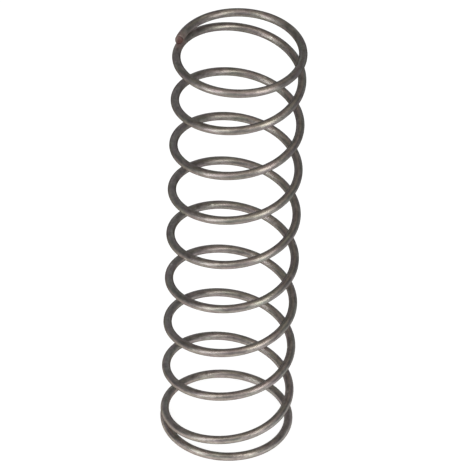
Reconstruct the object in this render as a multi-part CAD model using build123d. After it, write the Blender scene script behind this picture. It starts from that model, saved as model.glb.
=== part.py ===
from build123d import *
import os
from math import cos, pi, sin, sqrt

# A small compression spring: one length of round wire, wound right-handed about +Z, with its
# ends closed and left unground. It stands on its lower end coil, and the origin is on the
# spring's axis, in the plane that this coil rests on.

# Driving sizes, in millimetres unless the name or a comment says otherwise.
wire_diameter = 1.0
outer_diameter = 15.8
free_length = 57.3
total_turns = 9.97
flat_turns = 0.58  # turns of the coil that lie flat at each end of the wire
end_gap = 0.03  # daylight between the end of the wire and the coil that it closes on
lower_end_degrees = 180.0  # where the wire starts, about +Z from +X
stretches_per_turn = 6  # stretches of the centre line, each bent as two tangent arcs

# Sizes that follow from them.
wire_radius = wire_diameter / 2
coil_radius = outer_diameter / 2 - wire_radius
climb = free_length - wire_diameter
end_climb = wire_diameter + end_gap


def working_pitch():
    """Pitch of the open coils, with which the closed ends and the free length come out right.

    Where the flat stretch ends, the pitch grows evenly from nothing to this value, so that one
    turn in from the end of the wire the coil has climbed by end_climb.
    """
    ramp_per_pitch = (1 - flat_turns) ** 2 / (2 * end_climb)
    climbing_turns = total_turns - 2 * flat_turns
    root = sqrt(climbing_turns**2 - 4 * ramp_per_pitch * climb)
    return (climbing_turns - root) / (2 * ramp_per_pitch)


pitch = working_pitch()
ramp_turns = pitch * (1 - flat_turns) ** 2 / (2 * end_climb)


def end_height(turns):
    """How far the wire has climbed, and at what pitch, this many turns in from one of its ends."""
    climbing = max(0, turns - flat_turns)
    if climbing <= ramp_turns:
        return pitch * climbing**2 / (2 * ramp_turns), pitch * climbing / ramp_turns
    return pitch * (climbing - ramp_turns / 2), pitch


def centre_line(turns):
    """Centre of the wire and its direction, this many turns up from its lower end."""
    if turns <= total_turns / 2:
        height, slope = end_height(turns)
    else:
        drop, slope = end_height(total_turns - turns)
        height = climb - drop
    angle = lower_end_degrees * pi / 180 + 2 * pi * turns
    centre = Vector(coil_radius * cos(angle), coil_radius * sin(angle), wire_radius + height)
    along = Vector(-coil_radius * sin(angle), coil_radius * cos(angle), slope / (2 * pi))
    return centre, along.normalized()


def two_arcs(start, start_along, end, end_along):
    """Two equal-legged arcs that leave one point and meet the other along given directions."""
    chord = end - start
    turn = 1 - start_along.dot(end_along)
    spread = chord.dot(start_along + end_along)
    leg = (sqrt(spread**2 + 2 * turn * chord.dot(chord)) - spread) / (2 * turn)
    first_corner = start + start_along * leg
    second_corner = end - end_along * leg
    middle = (first_corner + second_corner) * 0.5
    return [
        TangentArc(start, middle, tangent=start_along),
        TangentArc(middle, end, tangent=second_corner - first_corner),
    ]


def wire_path():
    """The wire's centre line from its lower end to its upper end."""
    count = round(total_turns * stretches_per_turn)
    stops = [centre_line(total_turns * i / count) for i in range(count + 1)]
    arcs = []
    for lower, upper in zip(stops, stops[1:]):
        arcs += two_arcs(*lower, *upper)
    return Wire(arcs)


def spring():
    """The round wire, swept along its centre line and cut off square at both ends."""
    path = wire_path()
    section = Plane(origin=path @ 0, z_dir=path % 0) * Circle(wire_radius)
    return sweep(section, path=path)


os.makedirs("parts", exist_ok=True)
export_step(spring(), "parts/spring.step")
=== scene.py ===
from math import cos, exp, pi, radians, sin, sqrt

import bpy
import numpy as np
from mathutils import Matrix, Vector


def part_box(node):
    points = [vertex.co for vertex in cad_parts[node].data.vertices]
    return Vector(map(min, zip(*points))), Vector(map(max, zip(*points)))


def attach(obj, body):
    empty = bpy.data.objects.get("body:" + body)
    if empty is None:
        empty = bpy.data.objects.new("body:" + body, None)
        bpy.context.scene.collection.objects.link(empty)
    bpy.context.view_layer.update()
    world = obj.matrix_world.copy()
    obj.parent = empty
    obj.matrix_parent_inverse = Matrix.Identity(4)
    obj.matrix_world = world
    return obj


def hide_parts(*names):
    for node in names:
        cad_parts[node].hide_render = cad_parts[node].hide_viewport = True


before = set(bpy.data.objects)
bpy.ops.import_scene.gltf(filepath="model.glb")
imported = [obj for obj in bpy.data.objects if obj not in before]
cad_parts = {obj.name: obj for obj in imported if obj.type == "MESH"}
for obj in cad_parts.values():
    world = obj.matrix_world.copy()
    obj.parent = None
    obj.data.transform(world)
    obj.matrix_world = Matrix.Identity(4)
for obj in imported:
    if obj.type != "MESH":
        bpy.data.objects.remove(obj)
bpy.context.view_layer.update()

# The looks of a small compression spring. Its one piece, a length of round wire, is modelled
# again as a finely swept mesh over the CAD node, with sheared ends and a drawn-wire material.
# Lengths are in metres and angles in degrees, unless a comment says otherwise. Colours are linear.

# The wire. Its coil diameter and free length are read from the CAD node.
WIRE_DIAMETER = 0.001
TOTAL_TURNS = 9.97
FLAT_TURNS = 0.58  # turns that lie flat at each end of the wire
END_GAP = 0.00003  # daylight between the end of the wire and the coil that it closes on
LOWER_END = 180  # where the wire starts, about +Z from +X
RINGS_PER_TURN = 120
SIDES = 48
SEAM = 225  # where the mesh's rows start in the wire's section: inside the coil, low
MM = 1000  # the material measures in millimetres

# The sheared ends.
END_ROLLOVER = 0.00006  # radius that the cutter drags round the edge of the face
ROLLOVER_RINGS = 5
FACE_RINGS = 11
END_STROKE = -60  # which way the cutter went: 0 is outward from the coil, and -90 is down
END_TILT = 0.65  # slope of the face along that stroke: the far side is left longer
END_STEP = 0.00003  # how far the torn part of the face lies below the sheared part
END_GRAIN = 0.000006  # roughness of the torn part
END_BURR = 0.00005  # how far the burr stands past the face, at the far side of the cut

# The bake map, OFBake: how much of it is left bare beside each row and between rows.
MAP_MARGIN = 0.01
ROW_MARGIN = 0.05

# Colours of the wire.
WARM_TARNISH = (0.383, 0.33, 0.287, 1)
GREEN_TARNISH = (0.33, 0.33, 0.27, 1)
BROWN_TARNISH = (0.33, 0.268, 0.262, 1)
BARE_STEEL = (0.62, 0.58, 0.52, 1)
RED_RUST = (0.14, 0.072, 0.064, 1)
PALE_RUST = (0.19, 0.122, 0.113, 1)
# the lower part of each cut face: dark rust, with painted shade in it
DARK_RUST_AND_SHADE = (0.082, 0.036, 0.03, 1)
RIM_TINT = (0.12, 0.12, 0.12, 1)  # tarnished wire has no bright rims

# The camera, as the photograph was taken.
CAMERA_AZIMUTH = 4.7
CAMERA_ELEVATION = 40.35
CAMERA_ROLL = 2.14
CAMERA_DISTANCE = 1.495
VIEW_WIDTH = 0.0555  # what the picture takes in, at the middle of the spring
AIM_RIGHT, AIM_UP = 0.00023, 0.00016  # the picture's middle, from the spring's middle
SENSOR_WIDTH = 36  # millimetres

# The studio. Azimuths are the camera's: 0 is right, 90 is behind and 270 is towards the camera.
LEFT_LAMP, RIGHT_LAMP = 226, 310  # the two tall pairs of lamps in front
LAMP_DISTANCE = 0.25
FLOOR_REACH = 3.0
CARD_SIDES = 72
TABLE_RADII = [0.001, 0.012, 0.03, 0.05, 0.08, 0.12, 0.16, 0.2, 0.24, 0.28, 0.4, 0.8]
WALL_ELEVATIONS = range(6, 91, 6)
CARD_LIFT = 0.0002  # the glowing reflection card's height over the floor

low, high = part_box("spring")
middle = (low + high) / 2
wire_radius = WIRE_DIAMETER / 2
coil_radius = (high.x - low.x) / 2 - wire_radius
climb = high.z - low.z - WIRE_DIAMETER
end_climb = WIRE_DIAMETER + END_GAP


def working_pitch():
    """The pitch of the open coils, for ends that close with END_GAP."""
    ramp_per_pitch = (1 - FLAT_TURNS) ** 2 / (2 * end_climb)
    climbing_turns = TOTAL_TURNS - 2 * FLAT_TURNS
    root = sqrt(climbing_turns**2 - 4 * ramp_per_pitch * climb)
    return (climbing_turns - root) / (2 * ramp_per_pitch)


pitch = working_pitch()
ramp_turns = pitch * (1 - FLAT_TURNS) ** 2 / (2 * end_climb)


def end_height(turns):
    """Height and slope of the centre line, this many turns in from an end."""
    climbing = np.maximum(0, turns - FLAT_TURNS)
    ramp = climbing <= ramp_turns
    ramp_height = pitch * climbing**2 / (2 * ramp_turns)
    height = np.where(ramp, ramp_height, pitch * (climbing - ramp_turns / 2))
    slope = np.where(ramp, pitch * climbing / ramp_turns, pitch)
    return height, slope


def centre_line(turns):
    """Centres of the wire, and its directions outward, upward and along: one row for each turn value."""
    below, slope_below = end_height(turns)
    above, slope_above = end_height(TOTAL_TURNS - turns)
    lower_half = turns < TOTAL_TURNS / 2
    height = np.where(lower_half, below, climb - above)
    slope = np.where(lower_half, slope_below, slope_above)
    angle = radians(LOWER_END) + 2 * pi * turns
    outward = np.stack([np.cos(angle), np.sin(angle), np.zeros_like(angle)], axis=1)
    along = np.stack(
        [-coil_radius * np.sin(angle), coil_radius * np.cos(angle), slope / (2 * pi)], axis=1
    )
    along /= np.linalg.norm(along, axis=1, keepdims=True)
    upward = np.cross(outward, along)
    centres = np.array([middle.x, middle.y, low.z + wire_radius]) + outward * coil_radius
    centres[:, 2] += height
    return centres, outward, upward, along


def end_profile():
    """Rings from the edge of a sheared end to near its middle.

    Each is its radius, its distance out and its share of the face."""
    flat_radius = wire_radius - END_ROLLOVER
    rings = []
    for step in range(1, ROLLOVER_RINGS + 1):
        share = step / ROLLOVER_RINGS
        bend = share * pi / 2
        rings.append((flat_radius + END_ROLLOVER * cos(bend), END_ROLLOVER * sin(bend), share))
    for step in range(1, FACE_RINGS + 1):
        rings.append((flat_radius * (1 - step / (FACE_RINGS + 1)), END_ROLLOVER, 1.0))
    return rings


def end_relief(across, beside, share, rng):
    """How far the cut face stands out at each point.

    across runs from -1 to 1 along the cutter's stroke, and beside from -1 to 1 square to it."""
    past_shear = across + 0.15 + 0.12 * np.sin(5 * beside)  # the metal tears past a wavy line
    torn = 1 / (1 + np.exp(-past_shear * 14))
    grain = rng.normal(0, 1, len(across)) * END_GRAIN * torn
    burr = END_BURR * np.exp(-(((across - 0.96) / 0.07) ** 2))  # at the far edge
    slope = END_TILT * wire_radius * across
    return share * (slope - END_STEP * torn + grain) + burr


def wire_mesh():
    """The swept wire with its two cut ends, the attributes that its material reads, and its map."""
    ring_count = round(TOTAL_TURNS * RINGS_PER_TURN) + 1
    centres, outward, upward, along = centre_line(np.linspace(0, TOTAL_TURNS, ring_count))
    steps = np.linalg.norm(np.diff(centres, axis=0), axis=1)
    length = np.concatenate([[0], np.cumsum(steps)])
    section = radians(SEAM) + np.arange(SIDES) * 2 * pi / SIDES
    rng = np.random.default_rng(11)
    spots, places, cuts = [], [], []

    def add_ring(i, radius, out, cut):
        """One ring at centre i, pushed out along the wire by out, which may differ round the ring."""
        level, rise = radius * np.cos(section), radius * np.sin(section)
        spots.append(
            centres[i] + level[:, None] * outward[i] + rise[:, None] * upward[i]
            + np.asarray(out).reshape(-1, 1) * along[i]
        )
        places.append(np.stack([length[i] + out * np.ones(SIDES), level, rise], axis=1))
        cuts.append(np.full(SIDES, cut))

    def end_rings(i, way):
        """The rings of the end at centre i, from its edge inward."""
        round_stroke = section - radians(END_STROKE)
        made = []
        for radius, out, share in end_profile():
            across = radius / wire_radius * np.cos(round_stroke)
            beside = radius / wire_radius * np.sin(round_stroke)
            made.append((i, radius, way * (out + end_relief(across, beside, share, rng)), share))
        return made

    lower_rings, upper_rings = end_rings(0, -1), end_rings(ring_count - 1, 1)
    for ring in reversed(lower_rings):
        add_ring(*ring)
    for i in range(ring_count):
        add_ring(i, wire_radius, 0.0, 0.0)
    for ring in upper_rings:
        add_ring(*ring)
    rows = len(spots)
    end_spots = [spots[0].mean(axis=0), spots[-1].mean(axis=0)]
    end_places = [places[0].mean(axis=0), places[-1].mean(axis=0)]
    spots = np.concatenate(spots + [end_spots])
    places = np.concatenate(places + [end_places])
    cuts = np.concatenate(cuts + [[1.0, 1.0]])

    # The bake map, OFBake: one row for each turn of wire, and a last row for
    # the two ends.
    bands = int(np.ceil(TOTAL_TURNS)) + 1
    end_size = len(lower_rings)

    def on_tube(ring, side, band):
        """Where a corner of the tube lies on the map: the wire runs across it, and round it is up."""
        across_map = (ring - band * RINGS_PER_TURN) / RINGS_PER_TURN
        up_row = ROW_MARGIN + (1 - 2 * ROW_MARGIN) * side / SIDES
        return (MAP_MARGIN + (1 - 2 * MAP_MARGIN) * across_map, (band + up_row) / bands)

    def on_end(reach, side, is_upper):
        """Where a corner of a cut face lies on the map: a disc for each end."""
        angle = 2 * pi * side / SIDES
        centre = (0.25 if is_upper else 0.1, (bands - 0.5) / bands)
        size = 0.42 / bands * reach / end_size
        return (centre[0] + size * cos(angle), centre[1] + size * sin(angle))

    faces, face_map = [], []
    for row in range(rows - 1):
        ring = row - end_size
        near, far = row * SIDES, (row + 1) * SIDES
        for side in range(SIDES):
            after = (side + 1) % SIDES
            faces.append((near + side, far + side, far + after, near + after))
            corners = [(0, side), (1, side), (1, side + 1), (0, side + 1)]
            if 0 <= ring < ring_count - 1:
                band = ring // RINGS_PER_TURN
                face_map += [on_tube(ring + step, at, band) for step, at in corners]
            elif ring < 0:
                face_map += [on_end(row + 1 + step, at, False) for step, at in corners]
            else:
                face_map += [on_end(rows - row - step, at, True) for step, at in corners]
    lower_middle, upper_middle = len(spots) - 2, len(spots) - 1
    last = (rows - 1) * SIDES
    for side in range(SIDES):
        after = (side + 1) % SIDES
        faces.append((lower_middle, side, after))
        face_map += [on_end(0, 0, False), on_end(1, side, False), on_end(1, side + 1, False)]
        faces.append((upper_middle, last + after, last + side))
        face_map += [on_end(0, 0, True), on_end(1, side + 1, True), on_end(1, side, True)]

    mesh = bpy.data.meshes.new("wire")
    mesh.from_pydata(spots.tolist(), [], faces)
    place = mesh.attributes.new("wire_place", "FLOAT_VECTOR", "POINT")
    place.data.foreach_set("vector", (places * MM).astype(np.float32).ravel())
    cut = mesh.attributes.new("cut_face", "FLOAT", "POINT")
    cut.data.foreach_set("value", cuts.astype(np.float32))
    ends = [centres[0], centres[-1]]
    near_end = np.min([np.linalg.norm(spots - end, axis=1) for end in ends], axis=0)
    near = mesh.attributes.new("near_end", "FLOAT", "POINT")
    near.data.foreach_set("value", (near_end * MM).astype(np.float32))
    bake_map = mesh.uv_layers.new(name="OFBake")
    bake_map.data.foreach_set("uv", np.array(face_map, dtype=np.float32).ravel())
    mesh.polygons.foreach_set("use_smooth", np.ones(len(mesh.polygons), dtype=bool))
    mesh.update()
    return mesh


def make_nodes(tree):
    """A short way to add a node: its kind, its inputs by name or number, and its settings."""
    tree.nodes.clear()

    def add(kind, inputs=None, **settings):
        node = tree.nodes.new("ShaderNode" + kind)
        for name, value in settings.items():
            setattr(node, name, value)
        for name, value in (inputs or {}).items():
            if isinstance(value, bpy.types.NodeSocket):
                tree.links.new(value, node.inputs[name])
            else:
                node.inputs[name].default_value = value
        return node

    return add


def wire_material():
    """Drawn spring wire: dull steel under a thin uneven tarnish, with rusted ends."""
    material = bpy.data.materials.new("drawn_wire")
    material.use_nodes = True
    add = make_nodes(material.node_tree)
    # Where each point is on the wire, in millimetres: along it, outward from its centre, and up.
    place = add("Attribute", attribute_name="wire_place").outputs["Vector"]
    level, rise = add("SeparateXYZ", {0: place}).outputs[1:3]
    cut = add("Attribute", attribute_name="cut_face").outputs["Fac"]
    near_end = add("Attribute", attribute_name="near_end").outputs["Fac"]

    def maths(operation, first, second, clamp=False):
        return add("Math", {0: first, 1: second}, operation=operation, use_clamp=clamp).outputs[0]

    def ramp(value, before=(0.0, 1.0), after=(0.0, 1.0)):
        """The value moved from one range to another, and held at its ends."""
        ends = {"From Min": before[0], "From Max": before[1], "To Min": after[0], "To Max": after[1]}
        return add("MapRange", {"Value": value, **ends}).outputs[0]

    def mixed(share, first, second):
        return add("Mix", {0: share, 6: first, 7: second}, data_type="RGBA").outputs[2]

    def shaded(colour, amount):
        return add("VectorMath", {0: colour, "Scale": amount}, operation="SCALE").outputs[0]

    def stretched(along, across):
        """The place, with this many pattern sizes to the millimetre along the wire and across it."""
        return add("VectorMath", {0: place, 1: (along, across, across)}, operation="MULTIPLY").outputs[0]

    def noise(where, detail, strength, distortion=0.0):
        """A pattern about 0 to 1, with its middle stretched out by strength."""
        settings = {"Scale": 1.0, "Detail": detail, "Roughness": 0.6, "Distortion": distortion}
        pattern = add("TexNoise", {"Vector": where, **settings}).outputs["Fac"]
        reach = 0.5 / strength
        return ramp(pattern, (0.5 - reach, 0.5 + reach))

    # Tarnish: broad warm, greenish and brown patches, several millimetres long.
    broad = noise(stretched(0.28, 1.1), 3.0, 2.6, 0.4)
    second = noise(stretched(0.5, 1.8), 2.0, 3.0, 0.2)
    colour = mixed(broad, WARM_TARNISH, GREEN_TARNISH)
    colour = mixed(maths("MULTIPLY", second, 0.85), colour, BROWN_TARNISH)
    colour = shaded(colour, ramp(level, (0.3, -0.4), (1.0, 0.88)))  # darker inside the coil

    # Grain: the pickled, slightly pitted skin, the die lines along it, and rubs across it.
    grain = noise(stretched(1.0, 2.2), 2.0, 2.9)
    lines = noise(stretched(0.25, 5.0), 3.0, 2.6)
    rubs = noise(stretched(5.0, 0.7), 1.0, 2.4, 0.8)
    shade = maths("MULTIPLY", ramp(grain, after=(0.78, 1.22)), ramp(lines, after=(0.93, 1.07)))
    shade = maths("MULTIPLY", shade, ramp(rubs, after=(0.92, 1.08)))
    colour = shaded(colour, shade)

    # Nicks: a few small bright knocks. Each Voronoi cell holds one, and most cells stay bare.
    cells = add("TexVoronoi", {"Vector": stretched(0.8, 1.4), "Scale": 1.0})
    cell_value = add("SeparateColor", {0: cells.outputs["Color"]}).outputs[0]
    chosen = maths("GREATER_THAN", cell_value, 0.86)
    nick = maths("MULTIPLY", chosen, ramp(cells.outputs["Distance"], (0.10, 0.22), (1.0, 0.0)))
    colour = mixed(maths("MULTIPLY", nick, 0.8), colour, BARE_STEEL)

    # Rust: on both cut faces, darkest towards their bottoms, where they tore and where shade is
    # painted, with a stain on the wire about them and on the coil that each lies on.
    stain_noise = noise(stretched(1.3, 2.4), 3.0, 2.2)
    stain = ramp(near_end, (0.6, 1.7), (0.9, 0.0))
    stain = maths("MULTIPLY", stain, ramp(stain_noise, after=(0.3, 1.0)))
    face_rust = maths("MULTIPLY", cut, ramp(level, (0.45, 0.12), (0.4, 0.95)))
    rust = maths("MAXIMUM", stain, face_rust, clamp=True)
    # Painted shade as well as the tear: each cut face goes to dark rust towards its bottom.
    torn = ramp(rise, (0.3, -0.2), (0.0, 0.95))
    rust_colour = mixed(stain_noise, RED_RUST, PALE_RUST)
    rust_colour = mixed(maths("MULTIPLY", torn, cut), rust_colour, DARK_RUST_AND_SHADE)
    colour = mixed(rust, colour, rust_colour)

    roughness = ramp(grain, after=(0.33, 0.39))
    roughness = maths("ADD", roughness, maths("MULTIPLY", second, 0.04))
    roughness = maths("ADD", roughness, maths("MULTIPLY", rust, 0.3))
    height = maths("ADD", maths("MULTIPLY", grain, 0.25), maths("MULTIPLY", lines, 0.3))
    height = maths("SUBTRACT", height, maths("MULTIPLY", nick, 0.9))
    bump = add("Bump", {"Height": height, "Strength": 0.2, "Distance": 0.00001})
    bare = maths("SUBTRACT", 1.0, rust)
    shine = {"Roughness": roughness, "Metallic": bare, "Specular Tint": RIM_TINT}
    shader = add("BsdfPrincipled", {"Base Color": colour, "Normal": bump.outputs[0], **shine})
    add("OutputMaterial", {"Surface": shader.outputs[0]})
    return material


def seen_directly(add):
    """1 for rays from the camera or from a reflection or a clear surface, and 0 for the rest."""
    path = add("LightPath").outputs
    seen = add("Math", {0: path["Is Camera Ray"], 1: path["Is Glossy Ray"]}, operation="MAXIMUM")
    seen = add("Math", {0: seen.outputs[0], 1: path["Is Transmission Ray"]}, operation="MAXIMUM")
    return seen.outputs[0]


def floor_material():
    """White to the camera and to reflections, with the spring's shadow kept, and matt to the rest."""
    material = bpy.data.materials.new("white_floor")
    material.use_nodes = True
    add = make_nodes(material.node_tree)
    matt = add("BsdfDiffuse", {"Color": (0.8, 0.8, 0.8, 1)})
    shadowed = add("BsdfDiffuse", {"Color": (0.35, 0.35, 0.35, 1)})
    glow = add("Emission", {"Strength": 0.85})
    both = add("AddShader", {0: shadowed.outputs[0], 1: glow.outputs[0]})
    floor = add("MixShader", {0: seen_directly(add), 1: matt.outputs[0], 2: both.outputs[0]})
    add("OutputMaterial", {"Surface": floor.outputs[0]})
    return material


def make_world():
    """A plain soft room: white to the camera and to reflections, and a dimmer fill for the rest."""
    world = bpy.data.worlds.new("studio")
    bpy.context.scene.world = world
    world.use_nodes = True
    add = make_nodes(world.node_tree)
    fill = add("Background", {"Color": (1, 1, 1, 1), "Strength": 0.4})
    white = add("Background", {"Color": (1, 1, 1, 1), "Strength": 1.0})
    room = add("MixShader", {0: seen_directly(add), 1: fill.outputs[0], 2: white.outputs[0]})
    add("OutputWorld", {"Surface": room.outputs[0]})


def towards(azimuth, elevation):
    """A direction from the spring, where the azimuth is the camera's."""
    a, e = radians(azimuth + CAMERA_AZIMUTH), radians(elevation)
    return Vector((cos(a) * cos(e), sin(a) * cos(e), sin(e)))


def softbox(name, azimuth, elevation, width, height, level, tint):
    """A rectangular lamp that faces the spring. level is its brightness, where 1 is white."""
    data = bpy.data.lights.new(name, "AREA")
    data.shape = "RECTANGLE"
    data.size, data.size_y = width, height
    data.energy = level * pi * width * height
    data.color = tint
    lamp = bpy.data.objects.new(name, data)
    bpy.context.scene.collection.objects.link(lamp)
    direction = towards(azimuth, elevation)
    lamp.location = middle + direction * LAMP_DISTANCE
    lamp.rotation_mode = "QUATERNION"
    lamp.rotation_quaternion = (-direction).to_track_quat("-Z", "Y")
    lamp.visible_camera = False


def table_glow(azimuth, radius):
    """How bright the card paints the white table: full near the spring, and a painted pool of lamplight
    before each lamp.
    """
    level = 0.42 + 0.8 * exp(-max(0, radius - 0.025) / 0.04)
    for lamp_azimuth, spill in ((LEFT_LAMP, 3.0), (RIGHT_LAMP, 2.0)):
        beside = (azimuth - lamp_azimuth) / 8
        before = max(0, 1 - abs(radius - 0.2) / 0.08)
        # a painted pool of lamplight on the table, before each lamp
        level += spill * before * exp(-beside * beside)
    return level


def wall_glow(azimuth, elevation):
    """How bright the card paints the room above the table: dim walls, a painted lit backdrop and a pale
    ceiling.
    """
    behind, in_front = max(0, sin(radians(azimuth))), max(0, -sin(radians(azimuth)))
    level = 0.12 + 0.15 * max(0, 1 - elevation / 20) + 0.24 * in_front
    # painted light on the backdrop behind the spring
    level += 0.7 * behind * behind * max(0, 1 - elevation / 45)
    level += 0.42 * min(1, max(0, (elevation - 50) / 15))
    return level


def glowing_reflection_card(name):
    """A glowing card, no lamp, that paints the dim room dark satin metal needs round it: a card over the
    table and a dome of walls.

    Only reflections see it. Its painted walls are cooler than the ceiling, and so is the right of the
    table."""
    spots, faces, glows = [], [], []
    for ring in range(len(TABLE_RADII) + len(WALL_ELEVATIONS)):
        for i in range(CARD_SIDES):
            azimuth = 360 * i / CARD_SIDES
            if ring < len(TABLE_RADII):
                radius = TABLE_RADII[ring]
                spot = towards(azimuth, 0) * radius + Vector((0, 0, CARD_LIFT))
                level, cool = table_glow(azimuth, radius), 0.3 + 0.4 * max(0, cos(radians(azimuth)))
            else:
                elevation = WALL_ELEVATIONS[ring - len(TABLE_RADII)]
                spot = towards(azimuth, elevation) * TABLE_RADII[-1]
                level, cool = wall_glow(azimuth, elevation), min(1, max(0, (60 - elevation) / 35))
            spots.append(spot)
            glows += [level * (1.05 - 0.15 * cool), level, level * (0.93 + 0.2 * cool), 1.0]
            if ring > 0:
                corner, after = ring * CARD_SIDES + i, ring * CARD_SIDES + (i + 1) % CARD_SIDES
                faces.append((corner - CARD_SIDES, after - CARD_SIDES, after, corner))
    mesh = bpy.data.meshes.new(name)
    mesh.from_pydata(spots, [], faces)
    mesh.attributes.new("glow", "FLOAT_COLOR", "POINT").data.foreach_set("color", glows)
    card = bpy.data.objects.new(name, mesh)
    bpy.context.scene.collection.objects.link(card)
    card.visible_camera = False
    card.visible_shadow = False
    card.visible_diffuse = False
    card.visible_transmission = False
    material = bpy.data.materials.new(name)
    material.use_nodes = True
    add = make_nodes(material.node_tree)
    glow = add("Attribute", attribute_name="glow").outputs["Color"]
    shine = add("Emission", {"Color": glow, "Strength": 1.0})
    add("OutputMaterial", {"Surface": shine.outputs[0]})
    mesh.materials.append(material)


def make_camera():
    """The camera, aimed and rolled as the photograph was taken."""
    data = bpy.data.cameras.new("camera")
    camera = bpy.data.objects.new("camera", data)
    bpy.context.scene.collection.objects.link(camera)
    bpy.context.scene.camera = camera
    data.sensor_width = SENSOR_WIDTH
    data.lens = SENSOR_WIDTH * CAMERA_DISTANCE / VIEW_WIDTH
    data.clip_start, data.clip_end = 0.1, 20
    back = towards(270, CAMERA_ELEVATION)
    right = towards(0, 0)
    up = back.cross(right)
    roll = radians(CAMERA_ROLL)
    picture_right = right * cos(roll) + up * sin(roll)
    picture_up = up * cos(roll) - right * sin(roll)
    camera.rotation_mode = "QUATERNION"
    turned = Matrix((picture_right, picture_up, back)).transposed()
    camera.rotation_quaternion = turned.to_quaternion()
    camera.location = middle + back * CAMERA_DISTANCE + picture_right * AIM_RIGHT + picture_up * AIM_UP


def make_floor():
    """A wide plain floor that the spring stands on."""
    mesh = bpy.data.meshes.new("floor")
    ways = [(-1, -1), (1, -1), (1, 1), (-1, 1)]
    corners = [(x * FLOOR_REACH, y * FLOOR_REACH, low.z) for x, y in ways]
    mesh.from_pydata(corners, [], [(0, 1, 2, 3)])
    mesh.materials.append(floor_material())
    floor = bpy.data.objects.new("floor", mesh)
    bpy.context.scene.collection.objects.link(floor)


mesh = wire_mesh()
mesh.materials.append(wire_material())
wire = bpy.data.objects.new("wire", mesh)
bpy.context.scene.collection.objects.link(wire)
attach(wire, "root")
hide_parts("spring")

make_floor()
make_world()
# Each lamp's azimuth and elevation, width and height, level and tint.
softbox("left_low", LEFT_LAMP, 10, 0.055, 0.16, 5.2, (0.94, 1, 1.06))
softbox("left_high", LEFT_LAMP, 44, 0.055, 0.14, 4.2, (1, 1, 1))
softbox("right_low", RIGHT_LAMP, 4, 0.055, 0.085, 2.8, (0.9, 1, 1.04))
softbox("right_high", RIGHT_LAMP, 37, 0.055, 0.2, 5.5, (0.99, 1, 0.97))
glowing_reflection_card("room")
make_camera()
bpy.context.scene.view_settings.view_transform = "Standard"
